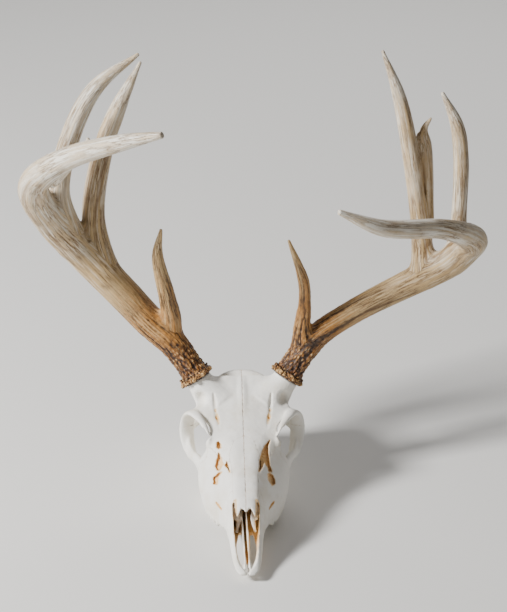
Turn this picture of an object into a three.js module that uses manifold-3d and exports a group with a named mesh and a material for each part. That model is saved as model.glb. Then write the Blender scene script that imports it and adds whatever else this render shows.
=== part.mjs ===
// Skull and antlers of a mature white-tailed buck, life size, without the lower jaw.
//
// Millimetres, +Z up. The nose points to -Y and the animal's left side is +X. The bones are laid out
// from the front teeth backwards (y) and from the chewing plane of the cheek teeth upwards (z).
// The cranium is joined from lofted forms, hollowed at the nose and eyes, and parted at its sutures.
// Each antler is joined from a main beam and its tines, and parted at its forks.

import * as THREE from 'three';
import { mergeVertices } from 'three/addons/utils/BufferGeometryUtils.js';
import Module from 'manifold-3d';

const wasm = await Module();
wasm.setup();

// ---------------------------------------------------------------- driving dimensions
const gap = 0.3; // clear space at every suture and fork
const originPoint = new THREE.Vector3(9.5, 142.5, 0); // below the middle of the whole piece
const skullBack = 285; // how far the condyles reach behind the front of the snout
const orbit = {
  centre: [49.5, 176, 67],
  halfLength: 26,
  halfHeight: 23.5,
  facing: [0.9, -0.42, 0.08],
  shiftForward: 1.5,
};
const burr = { centre: [47, 218, 114.5], axis: [0.55, 0.31, 0.78], radius: 17, beads: 11, beadHeight: 1.4 };
const pedicleRadius = 13.5;
const toothRow = { count: 6, first: 104, last: 180, crownFloor: 0, firstCrownFloor: 3.5, crownTop: 14 };
const tipNotch = { radius: 2, depth: 7 }; // between the tips of the two premaxillae
const foramenMagnum = { centre: [0, 278, 41], radius: 9, depth: 20 };

// Materials: bleached bone, and antler that is brown at the burr and paler along the tines.
const paint = (color, roughness) => new THREE.MeshStandardMaterial({ color, roughness, metalness: 0 });
const boneMaterial = paint(0xece6da, 0.72);
const burrMaterial = paint(0x8a5c30, 0.8);
const beamMaterial = paint(0xb79b72, 0.62);
const tineMaterial = paint(0xd3c6ac, 0.55);

// ---------------------------------------------------------------- surfaces and solids
const vector = ([x, y, z]) => new THREE.Vector3(x, y, z);

// A closed skin over rings that each hold the same number of points; faces are turned outwards.
function closedSkin(rings) {
  const sides = rings[0].length;
  const middle = (ring) => ring.reduce((sum, p) => sum.add(p), new THREE.Vector3()).divideScalar(sides);
  const points = [...rings.flat(), middle(rings[0]), middle(rings.at(-1))];
  const startPole = points.length - 2;
  const endPole = points.length - 1;
  const faces = [];
  for (let side = 0; side < sides; side++) {
    const next = (side + 1) % sides;
    for (let ring = 0; ring < rings.length - 1; ring++) {
      const low = ring * sides;
      const high = low + sides;
      faces.push([low + side, low + next, high + next], [low + side, high + next, high + side]);
    }
    const last = (rings.length - 1) * sides;
    faces.push([startPole, next, side], [endPole, last + side, last + next]);
  }
  const volume = faces.reduce((sum, [a, b, c]) => sum + points[a].dot(points[b].clone().cross(points[c])), 0);
  const outward = volume > 0 ? faces : faces.map(([a, b, c]) => [a, c, b]);
  const geometry = new THREE.BufferGeometry().setFromPoints(points);
  geometry.setIndex(outward.flat());
  return geometry;
}

// A loft along Y. Each section is a half outline from the top to the floor, mirrored and rounded.
function loftAlongY(sections, halfOutline, pointsAround) {
  const rings = sections.map((section) => {
    const half = halfOutline(section).map(([x, z]) => new THREE.Vector3(x, section.y, z));
    const mirrored = half.slice(1, -1).reverse().map((p) => new THREE.Vector3(-p.x, p.y, p.z));
    const outline = new THREE.CatmullRomCurve3([...half, ...mirrored], true, 'centripetal');
    return outline.getPoints(pointsAround).slice(0, -1);
  });
  return closedSkin(rings);
}

// A tube along a smooth line. Each station is [x, y, z, half width, half height]; the height is
// measured towards the given upward direction, and a missing height makes the tube round.
function tube(stations, { sides = 8, steps = 8, upward = [0, 0, 1] } = {}) {
  const path = new THREE.CatmullRomCurve3(stations.map(vector), false, 'centripetal');
  const sizeAt = (t) => {
    const place = Math.min(t * (stations.length - 1), stations.length - 1 - 1e-9);
    const before = stations[Math.floor(place)];
    const after = stations[Math.floor(place) + 1];
    const mix = (k) => THREE.MathUtils.lerp(before[k] ?? before[3], after[k] ?? after[3], place % 1);
    return [mix(3), mix(4)];
  };
  const rings = [];
  for (let step = 0; step <= steps; step++) {
    const t = step / steps;
    const tangent = path.getTangent(t);
    const across = vector(upward).cross(tangent).normalize();
    const up = tangent.clone().cross(across);
    const [halfWidth, halfHeight] = sizeAt(t);
    rings.push(ovalRing(path.getPoint(t), across, up, halfWidth, halfHeight, sides));
  }
  return closedSkin(rings);
}

function ovalRing(centre, across, up, halfWidth, halfHeight, sides) {
  const ring = [];
  for (let side = 0; side < sides; side++) {
    const angle = (2 * Math.PI * side) / sides;
    const point = centre.clone().addScaledVector(across, halfWidth * Math.cos(angle));
    ring.push(point.addScaledVector(up, halfHeight * Math.sin(angle)));
  }
  return ring;
}

// An ovoid with half sizes along X, Y and Z.
function ovoid(centre, halfSizes, sides = 12, bands = 8) {
  const geometry = new THREE.SphereGeometry(1, sides, bands);
  return geometry.scale(...halfSizes).translate(...centre);
}

// A straight block or peg with its length along a direction.
function peg(from, to, radius, sides = 12) {
  const start = vector(from);
  const along = vector(to).sub(start);
  const geometry = new THREE.CylinderGeometry(radius, radius, along.length(), sides);
  const turn = new THREE.Quaternion().setFromUnitVectors(new THREE.Vector3(0, 1, 0), along.clone().normalize());
  return geometry.applyQuaternion(turn).translate(...start.addScaledVector(along, 0.5));
}

// An outline drawn in side view as (y, z) pairs, carried across from one x to another.
function sidePrism(outline, fromX, toX) {
  const rings = [fromX, toX].map((x) => outline.map(([y, z]) => new THREE.Vector3(x, y, z)));
  return closedSkin(rings);
}

// An outline drawn in plan as (x, y) pairs, carried up from one height to another.
function planPrism(outline, fromZ, toZ) {
  const rings = [fromZ, toZ].map((z) => outline.map(([x, y]) => new THREE.Vector3(x, y, z)));
  return closedSkin(rings);
}

function toSolid(geometry) {
  const bare = geometry.clone();
  bare.deleteAttribute('normal');
  bare.deleteAttribute('uv');
  const welded = mergeVertices(bare, 1e-4);
  const vertProperties = Float32Array.from(welded.attributes.position.array);
  const triVerts = Uint32Array.from(welded.index.array);
  return new wasm.Manifold(new wasm.Mesh({ numProp: 3, vertProperties, triVerts }));
}

const joined = (geometries) => geometries.map(toSolid).reduce((whole, piece) => whole.add(piece));
const without = (solid, geometries) => geometries.map(toSolid).reduce((rest, cut) => rest.subtract(cut), solid);
const largest = (solid) => solid.decompose().reduce((a, b) => (a.volume() > b.volume() ? a : b));

function toMesh(name, solid, material) {
  const { vertProperties, triVerts } = solid.getMesh();
  const geometry = new THREE.BufferGeometry();
  geometry.setAttribute('position', new THREE.BufferAttribute(Float32Array.from(vertProperties), 3));
  geometry.setIndex(new THREE.BufferAttribute(Uint32Array.from(triVerts), 1));
  geometry.computeVertexNormals();
  const mesh = new THREE.Mesh(geometry, material);
  mesh.name = name;
  return mesh;
}

const rows = (names, table) => table.map((row) => Object.fromEntries(names.map((name, k) => [name, row[k]])));

// ---------------------------------------------------------------- snout and face
// Half outline: ridge of the nose, edge of the nasal bones, cheek, gum line and palate.
const faceSections = rows(['y', 'top', 'roof', 'drop', 'cheek', 'cheekZ', 'gum', 'gumZ', 'palate'], [
  [1, 11.6, 5, 0.6, 7.2, 10, 5.6, 8.6, 8.2],
  [7, 12.8, 8, 0.6, 10.8, 10.2, 8.8, 8.3, 8],
  [18, 15, 10, 0.6, 13.2, 11, 11.3, 8.6, 8.4],
  [32, 21.5, 11.8, 0.8, 15.2, 13.5, 13.2, 9.4, 9.2],
  [48, 31.5, 12.4, 1, 16.6, 18, 14.6, 10.6, 10.2],
  [64, 42, 12.6, 1.5, 18.6, 24, 16.2, 11.6, 11],
  [78, 53.5, 12, 2, 21.8, 28, 18.6, 12, 12],
  [92, 60, 12, 2.2, 28, 30, 25.6, 12, 13],
  [106, 65.2, 12.5, 2.4, 36, 29, 33.5, 12, 13.5],
  [120, 70, 14, 2.6, 41.5, 32, 38, 12, 14],
  [138, 76.6, 18, 3, 46, 42, 38, 14, 15],
  [149, 80.2, 22, 3, 44.5, 53, 34, 20, 17],
  [158, 80, 20, 5, 36, 60, 26, 30, 24],
]);
const face = loftAlongY(
  faceSections,
  (s) => [
    [0, s.top],
    [s.roof, s.top - s.drop],
    [s.cheek, s.cheekZ],
    [s.gum, s.gumZ],
    [s.gum * 0.6, s.palate],
    [0, s.palate],
  ],
  14,
);

// The nasal bones reach forward over the open nose as a thin arched plate. Notches cut from its
// front edge leave a tip in the middle and a longer prong on each side.
const nasalPlate = loftAlongY(
  rows(['y', 'top', 'half'], [[55.5, 44, 10.3], [66, 48.7, 11.4], [78, 53.8, 12], [92, 60, 12]]),
  (s) => [[0, s.top], [s.half * 0.6, s.top - 0.9], [s.half, s.top - 4], [s.half * 0.6, s.top - 3], [0, s.top - 2.2]],
  12,
);
const nasalNotches = (side) => [
  [[0, 50], [0, 60], [1.6, 60.3], [3.4, 64], [4.8, 64], [8, 56], [8, 50]],
  [[9.4, 50], [9.4, 57], [11, 65], [12.6, 73], [15, 73], [15, 50]],
].map((outline) => planPrism(outline.map(([x, y]) => [side * x, y]), 30, 70));

// The air passage: open in front and above as far as the nasal bones, closed behind the face.
const noseSections = rows(['y', 'top', 'floor', 'half'], [
  [3, 30, 11.2, 3.5],
  [14, 35, 11.5, 9],
  [32, 44, 12.6, 11],
  [62, 58, 15.4, 12.9],
  [72, 60, 16, 13.8],
  [76, 52, 17, 14.6],
  [82, 51.6, 17, 15.8],
  [100, 59, 18.5, 18],
  [140, 72, 22, 21],
  [152, 70, 30, 14],
]);
const airPassage = loftAlongY(
  noseSections,
  (s) => [
    [0, s.top],
    [s.half * 0.62, s.top - 1.5],
    [s.half, (s.top + s.floor) / 2],
    [s.half * 0.8, s.floor + 1],
    [0, s.floor],
  ],
  10,
);

// Two long openings through the front of the palate, with a pair of thin rods between them.
const palateSlot = (side) =>
  tube([[side * 4.6, 17, 10, 1.6, 8], [side * 6, 30, 11, 3.2, 9], [side * 6.6, 50, 12, 3.3, 9],
    [side * 5.6, 70, 13, 1.6, 8]], { steps: 4 });

// The open gap between nasal, frontal, lacrimal and maxillary bones in front of each eye.
const faceOpening = (side) =>
  tube([[side * 26, 154, 75, 1.6, 5], [side * 24.5, 143, 71, 3, 6], [side * 24.5, 131, 64, 3.8, 6],
    [side * 28, 117, 54, 2, 5]], { sides: 6, steps: 4, upward: [side * 0.8, 0, 1] });

// The notch between the two tips of the snout.
const notchCut = tube([[0, -3, 15.7, tipNotch.radius], [0, 5, 12, tipNotch.radius],
  [0, 2 * tipNotch.depth, 7.8, tipNotch.radius]], { sides: 6, steps: 2 });

// ---------------------------------------------------------------- brow, eye sockets and cheek bones
// Half outline: midline, shoulder of the forehead, edge over the eye, and underside.
const browSections = rows(['y', 'top', 'shoulder', 'shoulderZ', 'half', 'edgeZ', 'under'], [
  [140, 75, 16, 72, 26, 64, 60],
  [150, 80.6, 20, 77.5, 37, 70, 64],
  [160, 84.8, 25, 81.5, 44, 76, 70],
  [172, 90, 28, 87, 50, 83, 76],
  [187, 97.4, 29, 94.5, 52.5, 87, 80],
  [199, 104, 28, 101.5, 47.5, 91, 82],
  [208, 109.6, 28, 108, 46, 96, 84],
  [216, 113.6, 29, 113, 45, 100, 86],
  [222, 115, 26, 114, 38, 102, 88],
  [238, 110, 16, 106, 24, 97, 90],
]);
const brow = loftAlongY(
  browSections,
  (s) => [[0, s.top], [s.shoulder, s.shoulderZ], [s.half, s.edgeZ], [s.half * 0.86, s.edgeZ - 6], [0, s.under]],
  12,
);

// A low crest runs down the middle of the brow, and behind the brow the roof dips.
const browCrest = tube([[0, 218, 111.6, 3.4, 2.6], [0, 208, 107.6, 4.2, 2.8], [0, 195, 100.6, 3.8, 1.8],
  [0, 180, 92, 2, 0.7]], { sides: 6, steps: 3 });
const roofDip = tube([[-34, 228, 108, 4, 5], [-27, 226, 113, 6, 8], [-14, 226, 117.5, 6.5, 9.4],
  [14, 226, 117.5, 6.5, 9.4], [27, 226, 113, 6, 8], [34, 228, 108, 4, 5]], { sides: 6, steps: 5 });

const orbitFacing = vector(orbit.facing).normalize();
const orbitLevel = new THREE.Vector3(0, 0, 1).cross(orbitFacing).normalize();

// The hollow that held the eye narrows inwards from its rim.
function eyeHollow(side) {
  const reaches = [[16, 26, 22], [2, 25.3, 20.3], [-12, 23, 17.5], [-24, 13, 11]];
  const stations = reaches.map(([reach, halfLength, halfHeight]) => {
    const place = vector(orbit.centre).addScaledVector(orbitFacing, reach);
    place.addScaledVector(orbitLevel, -orbit.shiftForward);
    return [...place.toArray(), halfLength, halfHeight];
  });
  const hollow = tube(stations, { sides: 12, steps: 2 });
  return side > 0 ? hollow : mirroredX(hollow);
}

// The bony rim of the eye socket, a ring that looks outwards and a little forwards. Its hind part,
// the bar behind the eye, is the deepest; its front part is thin and lies further in.
function orbitRing(side) {
  const rise = orbitFacing.clone().cross(orbitLevel);
  const spots = 14;
  const sides = 6;
  const rings = [];
  for (let spot = 0; spot < spots; spot++) {
    const angle = (2 * Math.PI * spot) / spots;
    const back = Math.max(0, Math.cos(angle));
    const front = Math.max(0, -Math.cos(angle));
    const backward = Math.cos(angle) * (orbit.halfLength + 2.6 * front);
    const upward = Math.sin(angle) * orbit.halfHeight;
    const halfDepth = 5 + 3.4 * back - 3.2 * front;
    const spoke = orbitLevel.clone().multiplyScalar(backward).addScaledVector(rise, upward);
    const centre = vector(orbit.centre).add(spoke).addScaledVector(orbitFacing, -3.4 * back - 2.6 * front);
    rings.push(ovalRing(centre, spoke.normalize(), orbitFacing, 3.2 - 1.2 * front, halfDepth, sides));
  }
  return side > 0 ? closedHoop(rings) : mirroredX(closedHoop(rings));
}

// A closed skin over rings that follow each other round in a circle.
function closedHoop(rings) {
  const sides = rings[0].length;
  const faces = [];
  for (let ring = 0; ring < rings.length; ring++) {
    const here = ring * sides;
    const there = ((ring + 1) % rings.length) * sides;
    for (let side = 0; side < sides; side++) {
      const next = (side + 1) % sides;
      faces.push(here + side, there + side, there + next, here + side, there + next, here + next);
    }
  }
  const geometry = new THREE.BufferGeometry().setFromPoints(rings.flat());
  geometry.setIndex(faces);
  return geometry;
}

function mirroredX(geometry) {
  const copy = geometry.clone().scale(-1, 1, 1);
  const index = copy.index.array;
  for (let k = 0; k < index.length; k += 3) {
    [index[k + 1], index[k + 2]] = [index[k + 2], index[k + 1]];
  }
  return copy;
}

// The cheek bone, from the face below the eye back to the root in front of the ear.
const cheekArch = (side) =>
  tube([[side * 37, 130, 35, 4, 6], [side * 41, 144, 42, 4, 9], [side * 46, 158, 47, 4, 7],
    [side * 52, 174, 47, 3.4, 5], [side * 55.5, 192, 50, 2.8, 4.6], [side * 55, 209, 54, 2.4, 4],
    [side * 49, 224, 56, 3.4, 4], [side * 36, 237, 57, 6, 5]], { sides: 6, steps: 9 });

// ---------------------------------------------------------------- braincase and skull base
const coreSections = rows(['y', 'top', 'bottom', 'half', 'widest'], [
  [148, 76, 36, 24, 60],
  [165, 84, 38, 19, 64],
  [181, 92.5, 38, 18, 66],
  [196, 100, 38, 24.5, 73],
  [210, 107, 37, 30, 76],
  [222, 112.6, 36, 33, 77],
  [235, 112.6, 35, 34, 74],
  [248, 107, 35, 33.5, 69],
  [259, 95.5, 36, 33, 62],
  [267, 84, 40, 29, 58],
  [273, 73, 46, 20, 57],
]);
const core = loftAlongY(
  coreSections,
  (s) => [
    [0, s.top],
    [s.half * 0.72, s.top - (s.top - s.widest) * 0.22],
    [s.half, s.widest],
    [s.half * 0.75, s.bottom + (s.widest - s.bottom) * 0.25],
    [0, s.bottom],
  ],
  10,
);

const skullBase = tube([[0, 172, 38, 9, 7], [0, 215, 38, 9, 6], [0, 245, 37, 10, 5], [0, 270, 36, 12, 7]],
  { steps: 3 });
const wing = (side) =>
  tube([[side * 12, 152, 22, 3.2, 9], [side * 12, 170, 27, 2.4, 12], [side * 11.5, 190, 28, 1.8, 12],
    [side * 11, 203, 24, 1.4, 9]], { sides: 6, steps: 3 });
const earCapsule = (side) => ovoid([side * 22, 236, 35], [9, 13, 11], 8, 5);
const earTube = (side) => peg([side * 26, 240, 46], [side * 40, 245, 50], 5.4, 6);
const jugular = (side) =>
  tube([[side * 27, 262, 46, 5, 6], [side * 28.5, 261, 26, 3.6, 6.4], [side * 28, 259, 10, 3, 5],
    [side * 27.5, 258, -2, 2.4, 4]], { sides: 6, steps: 4, upward: [0, 1, 0] });
const condyle = (side) => ovoid([side * 13, 273, 33], [8.5, 11, 12], 8, 5);
const occiput = loftAlongY(
  rows(['y', 'top', 'bottom', 'half', 'widest'], [
    [256, 92, 34, 33, 60],
    [266, 84, 32, 34, 58],
    [271, 80, 32, 30, 56],
    [276, 60, 34, 17, 48],
  ]),
  (s) => [
    [0, s.top],
    [s.half * 0.7, s.widest + (s.top - s.widest) * 0.7],
    [s.half, s.widest],
    [s.half * 0.7, s.bottom],
    [0, s.bottom],
  ],
  12,
);

// ---------------------------------------------------------------- cheek teeth
// Six crowns a side. The row bows outwards. The first crown is short, and the others end flat on the
// chewing plane.
const rowHalf = (y) => {
  const part = THREE.MathUtils.clamp((y - toothRow.first) / (toothRow.last - toothRow.first), 0, 1);
  return 19 + 11.5 * Math.sin(Math.min(1, part * 1.5) * Math.PI * 0.5);
};

function toothCrowns(side) {
  const length = (toothRow.last - toothRow.first) / toothRow.count;
  const crowns = [];
  for (let k = 0; k < toothRow.count; k++) {
    const y = toothRow.first + length * (k + 0.5);
    const half = k < toothRow.count / 2 ? 4.8 : 6.4;
    const x = side * rowHalf(y);
    const front = y - length / 2;
    const back = y + length / 2;
    const outline = [[x - half, front + 0.4], [x + half, front + 1.6], [x + half, back - 1.6],
      [x - half, back - 0.4]];
    const floor = k === 0 ? toothRow.firstCrownFloor : toothRow.crownFloor;
    crowns.push(planPrism(outline, floor, toothRow.crownTop));
  }
  return crowns;
}

const gumRidge = (side) => {
  const stations = [];
  for (let y = toothRow.first - 4; y <= toothRow.last + 4; y += 11) {
    stations.push([side * rowHalf(y), y, 19, 7.4, 9]);
  }
  return tube(stations, { sides: 6, steps: 4 });
};

// ---------------------------------------------------------------- the whole cranium
// The short bony stalk under each antler, ending square to the antler's axis.
const antlerAxis = vector(burr.axis).normalize();
const pedicleTop = (side, reach) => {
  const point = vector(burr.centre).addScaledVector(antlerAxis, reach);
  return [side * point.x, point.y, point.z];
};
const pedicle = (side) =>
  tube([[side * 25, 205, 88, 20, 17], [side * 34, 211, 98, 17.5, 16],
    [...pedicleTop(side, -9), pedicleRadius + 0.6, pedicleRadius + 0.6],
    [...pedicleTop(side, -3 - gap), pedicleRadius, pedicleRadius]],
  { sides: 9, steps: 3, upward: [0, 1, 0] });

const bothSides = (maker) => [maker(1), maker(-1)].flat();
const craniumForms = [
  browCrest,
  skullBase,
  occiput,
  ...bothSides(orbitRing),
  ...bothSides(cheekArch),
  ...bothSides(wing),
  ...bothSides(earCapsule),
  ...bothSides(earTube),
  ...bothSides(jugular),
  ...bothSides(condyle),
  ...bothSides(gumRidge),
  ...bothSides(toothCrowns),
  ...bothSides(pedicle),
];
const spinalOpening = peg(
  [foramenMagnum.centre[0], foramenMagnum.centre[1] - foramenMagnum.depth, foramenMagnum.centre[2] + 3],
  [foramenMagnum.centre[0], skullBack + 10, foramenMagnum.centre[2] - 1],
  foramenMagnum.radius,
);
// All that touches the floor ends on it: nothing reaches below the chewing plane.
const belowFloor = sidePrism([[-20, -20], [300, -20], [300, 0], [-20, 0]], -80, 80);
const craniumHollows = [
  belowFloor,
  roofDip,
  notchCut,
  spinalOpening,
  ...bothSides(palateSlot),
  ...bothSides(faceOpening),
];
const openFace = toSolid(face).subtract(toSolid(airPassage));
const nasalTips = without(toSolid(nasalPlate), bothSides(nasalNotches));
const head = without(openFace.add(nasalTips).add(joined([brow, core])), bothSides(eyeHollow));
const cranium = without(head.add(joined(craniumForms)), craniumHollows);

// ---------------------------------------------------------------- parting at the sutures
// A region is one or more outlines carried across the skull. A bone is what the skull holds inside
// its region, and the region grown by the gap is taken from what is left for its neighbours.
function grownOutline(outline, distance) {
  const area = outline.reduce((sum, [a, b], k) => {
    const [c, d] = outline[(k + 1) % outline.length];
    return sum + a * d - b * c;
  }, 0);
  const normalAfter = (k) => {
    const [a, b] = outline[k % outline.length];
    const [c, d] = outline[(k + 1) % outline.length];
    return new THREE.Vector2(d - b, a - c).normalize().multiplyScalar(Math.sign(area));
  };
  return outline.map(([a, b], k) => {
    const before = normalAfter(k + outline.length - 1);
    const after = normalAfter(k);
    const reach = distance / (1 + before.dot(after));
    return [a + (before.x + after.x) * reach, b + (before.y + after.y) * reach];
  });
}

const sideRegion = (outline, side, fromX = gap / 2, toX = 80) => (grow) =>
  sidePrism(grownOutline(outline, grow), side * (fromX - grow), side * (toX + grow));
const planRegion = (outline, side, fromZ, toZ) => (grow) =>
  planPrism(grownOutline(outline.map(([x, y]) => [side * x, y]), grow), fromZ - grow, toZ + grow);

let uncut = cranium;
function partBone(name, regions) {
  const inside = regions.map((region) => toSolid(region(0))).reduce((a, b) => a.add(b));
  const around = regions.map((region) => toSolid(region(gap))).reduce((a, b) => a.add(b));
  const bone = largest(uncut.intersect(inside));
  uncut = uncut.subtract(around);
  return toMesh(name, bone, boneMaterial);
}

const nasalOutline = [[gap / 2, 50], [11.8, 50], [12.4, 80], [13, 110], [15, 130], [10, 144], [gap / 2, 150]];
const nasalUnderside = [[48, 36], [80, 45], [120, 62], [150, 74.5], [152, 100], [48, 100]];
const premaxillaOutline = [[-8, -8], [56, -8], [54, 12], [60, 20], [73, 36], [86, 52], [80, 66], [-8, 66]];
const frontalOutline = [[122, 66], [136, 66], [150, 70], [176, 70], [204, 66], [216, 84], [227, 94], [240, 130],
  [122, 130]];
const cheekOutline = [[143, 24], [160, 32], [222, 38], [222, 66], [204, 65.7], [176, 69.7], [150, 69.7], [143, 60]];
const maxillaOutline = [[40, -8], [156, -8], [156, 30], [150, 90], [40, 90]];
const toothBoneOutline = [[150, -8], [190, -8], [190, 31], [150, 31]];
const occipitalOutline = [[249, -8], [300, -8], [300, 90], [268, 90], [262, 60], [249, 46]];

const sideNames = { left: 1, right: -1 };
const bones = [];
for (const [name, side] of Object.entries(sideNames)) {
  const nasalSlice = sideRegion(nasalUnderside, side, -1, 20);
  const nasalPlan = planRegion(nasalOutline, side, 30, 100);
  const nasalRegion = (grow) => {
    const solid = toSolid(nasalSlice(grow)).intersect(toSolid(nasalPlan(grow)));
    return toMesh('', solid, boneMaterial).geometry;
  };
  bones.push(partBone(`nasal_${name}`, [nasalRegion]));
  bones.push(partBone(`premaxilla_${name}`, [sideRegion(premaxillaOutline, side)]));
  bones.push(partBone(`frontal_${name}`, [sideRegion(frontalOutline, side)]));
  bones.push(partBone(`cheek_${name}`, [sideRegion(cheekOutline, side, 34)]));
  bones.push(partBone(`maxilla_${name}`, [sideRegion(maxillaOutline, side), sideRegion(toothBoneOutline, side, 17)]));
}
bones.push(partBone('occipital', [sideRegion(occipitalOutline, 1, -80)]));
bones.push(toMesh('braincase', largest(uncut), boneMaterial));

const group = new THREE.Group();
group.add(...bones);

// ---------------------------------------------------------------- antlers
// Lines of [x, y, z, radius] from the root of each part to its tip, for each side as it grew. The
// spur is a small point on the beam. The flange is a ridge with a thorn beside the second tine, and
// the web joins the two.
const antlers = {
  right: {
    beam: [[-47, 218, 114.5, 14.5], [-54, 222, 125, 13.5], [-70, 229, 146, 14.5], [-97, 237, 171, 16.3],
      [-119, 242, 195, 17], [-142, 243, 221, 17.4], [-168, 238, 253, 17.3], [-191, 223, 287, 16.5],
      [-205, 178, 343, 15.1], [-171, 124, 391, 11.3], [-115, 76, 426, 8], [-78, 52, 442, 3.2]],
    brow: [[-78, 233, 151, 9], [-72, 232, 168, 10], [-77, 229, 201, 8.7], [-86, 222, 250, 5.8],
      [-82, 216, 281, 1.5]],
    second: [[-138, 242, 216, 12], [-143, 244, 236, 13], [-151, 249, 283, 11.7], [-140, 261, 349, 10.1],
      [-126, 270, 386, 8.6], [-101, 283, 435, 1.6]],
    third: [[-170, 236, 254, 12], [-176, 231, 278, 12.6], [-183, 225, 320, 10.5], [-171, 232, 373, 9.9],
      [-145, 240, 422, 7.9], [-102, 246, 455, 1.8]],
    spur: [[-168, 142, 379, 5], [-177, 156, 362, 4.4], [-182, 161, 353, 3], [-186, 164, 347, 1]],
  },
  left: {
    beam: [[47, 218, 114.5, 14.5], [54, 221, 126, 13.5], [79, 231, 155, 13], [117, 240, 178, 12.7],
      [165, 240, 205, 13.9], [193, 232, 224, 14.9], [213, 216, 245, 15.7], [224, 196, 268, 15.5],
      [226, 172, 286, 14.3], [187, 108, 325, 10], [124, 62, 346, 8], [82, 48, 368, 2.6]],
    brow: [[66, 227, 138, 9], [62, 226, 155, 9.4], [64, 223, 199, 6.4], [62, 220, 222, 5.9],
      [46, 212, 270, 1.4]],
    second: [[184.5, 235, 216, 10.5], [186, 235, 230, 12.4], [182, 240, 268, 9.7], [173, 251, 330, 8.9],
      [158, 264, 402, 7], [140, 273, 449, 1.5]],
    third: [[212, 217, 243, 10], [217, 212, 256, 10.6], [217, 214, 294, 7.8], [217, 221, 354, 7.6],
      [212, 225, 386, 6.9], [196, 229, 420, 1.7]],
    flange: [[189, 241, 246, 3.5], [191, 246, 271, 5.1], [190, 252, 296, 5.6], [189, 258, 327, 5.6],
      [187, 262, 352, 5.6], [184, 264, 368, 4], [191, 262, 382, 1]],
    web: [[185, 246, 283, 3.5], [183, 252, 308, 5], [181, 258, 334, 5], [179, 262, 352, 4.5],
      [180, 264, 364, 2.5]],
  },
};

// Where each beam is split, as places along its line counted in stations: above the burr, and
// above the root of each tine.
antlers.right.forks = [0.85, 3.4, 5.7, 7.1];
antlers.left.forks = [0.75, 2.4, 5.4, 6.9];
const beamNames = ['burr', 'beam_base', 'beam_lower', 'beam_upper', 'beam_tip'];
const tineNames = ['brow', 'second', 'third'];

// The burr is a ring of bony beads round the foot of the antler.
function burrRing(side) {
  const across = new THREE.Vector3(0, 1, 0).cross(antlerAxis).normalize();
  const up = antlerAxis.clone().cross(across);
  const levels = [[-3, -3.4], [0, 0.2], [5, -1.6]];
  const around = burr.beads * 2;
  const rings = levels.map(([reach, swell], level) => {
    const centre = vector(burr.centre).addScaledVector(antlerAxis, reach);
    return Array.from({ length: around }, (_, k) => {
      const angle = (2 * Math.PI * k) / around;
      const bead = burr.beadHeight * Math.cos(burr.beads * angle + level * Math.PI);
      const radius = burr.radius + swell + bead;
      const point = centre.clone().addScaledVector(across, radius * Math.cos(angle));
      return point.addScaledVector(up, radius * Math.sin(angle));
    });
  });
  return side > 0 ? closedSkin(rings) : mirroredX(closedSkin(rings));
}

// A thin disc square to the beam, for parting it.
function partingDisc(stations, place) {
  const path = new THREE.CatmullRomCurve3(stations.map(vector), false, 'centripetal');
  const t = place / (stations.length - 1);
  const half = path.getTangent(t).multiplyScalar(gap / 2);
  const centre = path.getPoint(t);
  return peg(centre.clone().sub(half).toArray(), centre.clone().add(half).toArray(), burr.radius * 2, 8);
}

// The beam is parted by discs, and each tine is fitted to the beam's side with the usual gap.
function antlerMeshes(name, antler) {
  const beamShape = { sides: 8, steps: 19, upward: [0.2, 1, 0.3] };
  const tineShape = { sides: 6, steps: 7, upward: [0, 1, 0] };
  const ridgeShape = { sides: 5, steps: 4, upward: [0, 1, 0] };
  const spurs = antler.spur ? [tube(antler.spur, { sides: 5, steps: 3 })] : [];
  const beam = joined([tube(antler.beam, beamShape), burrRing(sideNames[name]), ...spurs]);
  const discs = antler.forks.map((place) => partingDisc(antler.beam, place));
  const lengths = without(beam, discs).decompose().sort((a, b) => along(a, antler) - along(b, antler));
  const clearBeam = tube(antler.beam.map(([x, y, z, radius]) => [x, y, z, radius + gap]), beamShape);
  const meshes = beamNames.map((part, k) => {
    const material = part === 'burr' ? burrMaterial : beamMaterial;
    return toMesh(`antler_${name}_${part}`, lengths[k], material);
  });
  for (const part of tineNames) {
    const ridges = part === 'second' && antler.flange ? [antler.flange, antler.web] : [];
    const forms = [tube(antler[part], tineShape), ...ridges.map((line) => tube(line, ridgeShape))];
    const tine = largest(without(joined(forms), [clearBeam]));
    meshes.push(toMesh(`antler_${name}_${part}_tine`, tine, tineMaterial));
  }
  return meshes;
}

// How far along the beam a piece of it lies.
function along(piece, antler) {
  const path = new THREE.CatmullRomCurve3(antler.beam.map(vector), false, 'centripetal');
  const { min, max } = piece.boundingBox();
  const middle = new THREE.Box3(vector([...min]), vector([...max])).getCenter(new THREE.Vector3());
  const spots = path.getPoints(60).map((spot) => spot.distanceTo(middle));
  return spots.indexOf(Math.min(...spots));
}

for (const [name, antler] of Object.entries(antlers)) {
  group.add(...antlerMeshes(name, antler));
}

group.position.copy(originPoint).multiplyScalar(-1);

export default group;
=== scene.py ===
"""Skull and antlers of a mature white-tailed buck, life size, lying on its cheek teeth."""

import functools
import itertools

import bpy
import numpy as np
import openvdb as vdb
from mathutils import Matrix


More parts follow.
